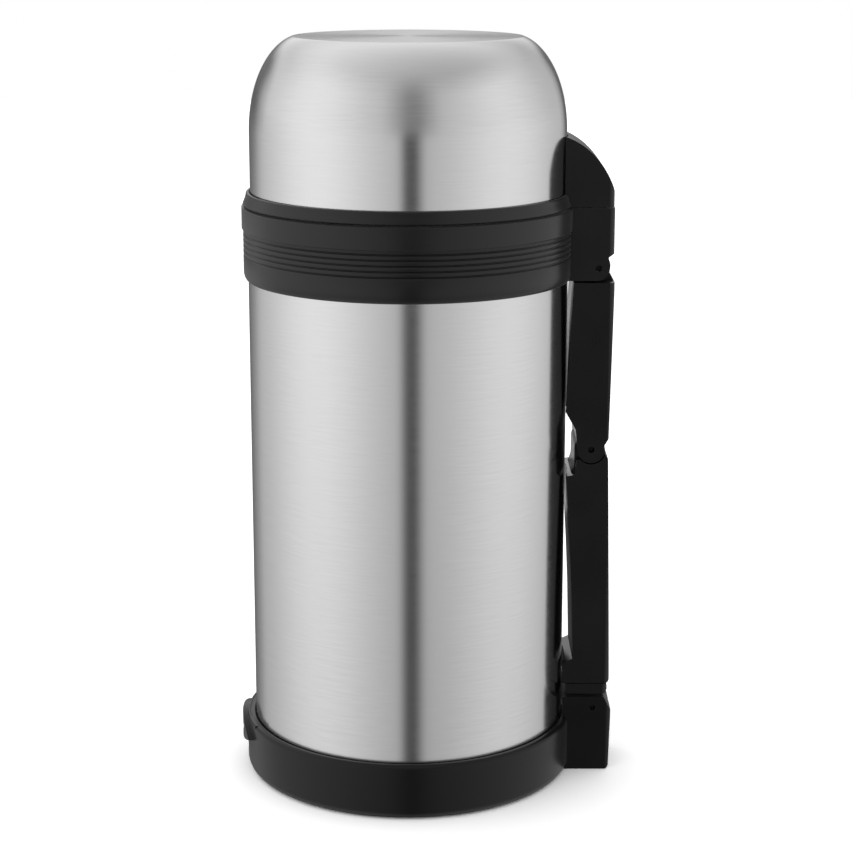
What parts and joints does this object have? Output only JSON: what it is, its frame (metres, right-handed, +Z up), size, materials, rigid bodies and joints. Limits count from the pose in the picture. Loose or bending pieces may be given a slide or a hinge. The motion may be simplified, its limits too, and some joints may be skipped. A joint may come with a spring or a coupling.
{
  "type": "vacuum jug",
  "caption": "Tall double-walled steel vacuum jug with a moulded boot and collar, a screw-on cup over a push-button stopper, and a side handle that folds out from the wall.",
  "frame": {"origin": "on the body's axis, at the standing surface under the boot", "axes": "+Z up along the body's axis, +X from the axis towards the handle, +Y to the far side of the pictured view"},
  "size_m": [0.144, 0.1266, 0.2818],
  "materials": {
    "body_steel": "fine horizontal brushing under a satin clear finish",
    "inner_steel": "electropolished sheet",
    "getter_metal": "sintered disc",
    "boot_plastic": "fine moulded texture",
    "collar_plastic": "fine moulded texture",
    "handle_plastic": "satin moulding",
    "pin_steel": "blackened ground bar",
    "cup_steel": "fine spun brushing",
    "cup_liner_plastic": "smooth moulding",
    "stopper_plastic": "satin moulding",
    "button_plastic": "smooth moulding",
    "seal_silicone": "moulded silicone",
    "spring_wire": "drawn wire"
  },
  "bodies": {
    "jug_body": {"outer_shell": "body_steel", "inner_liner": "inner_steel", "shell_base": "inner_steel", "getter": "getter_metal", "base_boot": "boot_plastic", "collar": "collar_plastic", "collar_gasket": "seal_silicone", "shoulder_pin": "pin_steel", "foot_pin": "pin_steel"},
    "handle_upper": {"upper_arm": "handle_plastic", "elbow_pin": "pin_steel"},
    "handle_lower": {"lower_arm": "handle_plastic"},
    "handle_foot_link": {"foot_link": "handle_plastic"},
    "cup": {"cup_shell": "cup_steel", "cup_liner": "cup_liner_plastic", "cup_rim": "collar_plastic"},
    "stopper": {"stopper_body": "stopper_plastic", "stopper_seal": "seal_silicone", "button_retainer": "stopper_plastic"},
    "button": {"pour_button": "button_plastic", "valve_stem": "inner_steel", "valve_seal": "seal_silicone", "button_spring": "spring_wire"}
  },
  "joints": [
    {"name": "handle_fold", "type": "hinge", "parent": "jug_body", "child": "handle_upper", "pos_m": [0.0707, 0, 0.1978], "axis": [0, -1, 0], "range_deg": [0, 36]},
    {"name": "handle_elbow", "type": "hinge", "parent": "handle_upper", "child": "handle_lower", "pos_m": [0.0691, 0, 0.1287], "axis": [0, -1, 0], "range_deg": [-57, 0]},
    {"name": "handle_foot", "type": "hinge", "parent": "jug_body", "child": "handle_foot_link", "pos_m": [0.0715, 0, 0.0254], "axis": [0, -1, 0], "range_deg": [-21, 0]},
    {"name": "cup_lift", "type": "slide", "parent": "jug_body", "child": "cup", "axis": [0, 0, 1], "range_m": [0, 0.12]},
    {"name": "stopper_lift", "type": "slide", "parent": "jug_body", "child": "stopper", "axis": [0, 0, 1], "range_m": [0, 0.032]},
    {"name": "button_press", "type": "slide", "parent": "stopper", "child": "button", "axis": [0, 0, -1], "range_m": [0, 0.004], "stiffness_N_per_m": 400, "springref_m": -0.002, "deforming": ["button_spring"]}
  ],
  "couplings": [
    {"joint": "handle_elbow", "follows": "handle_fold", "ratio": -1.576},
    {"joint": "handle_foot", "follows": "handle_fold", "ratio": -0.576}
  ]
}
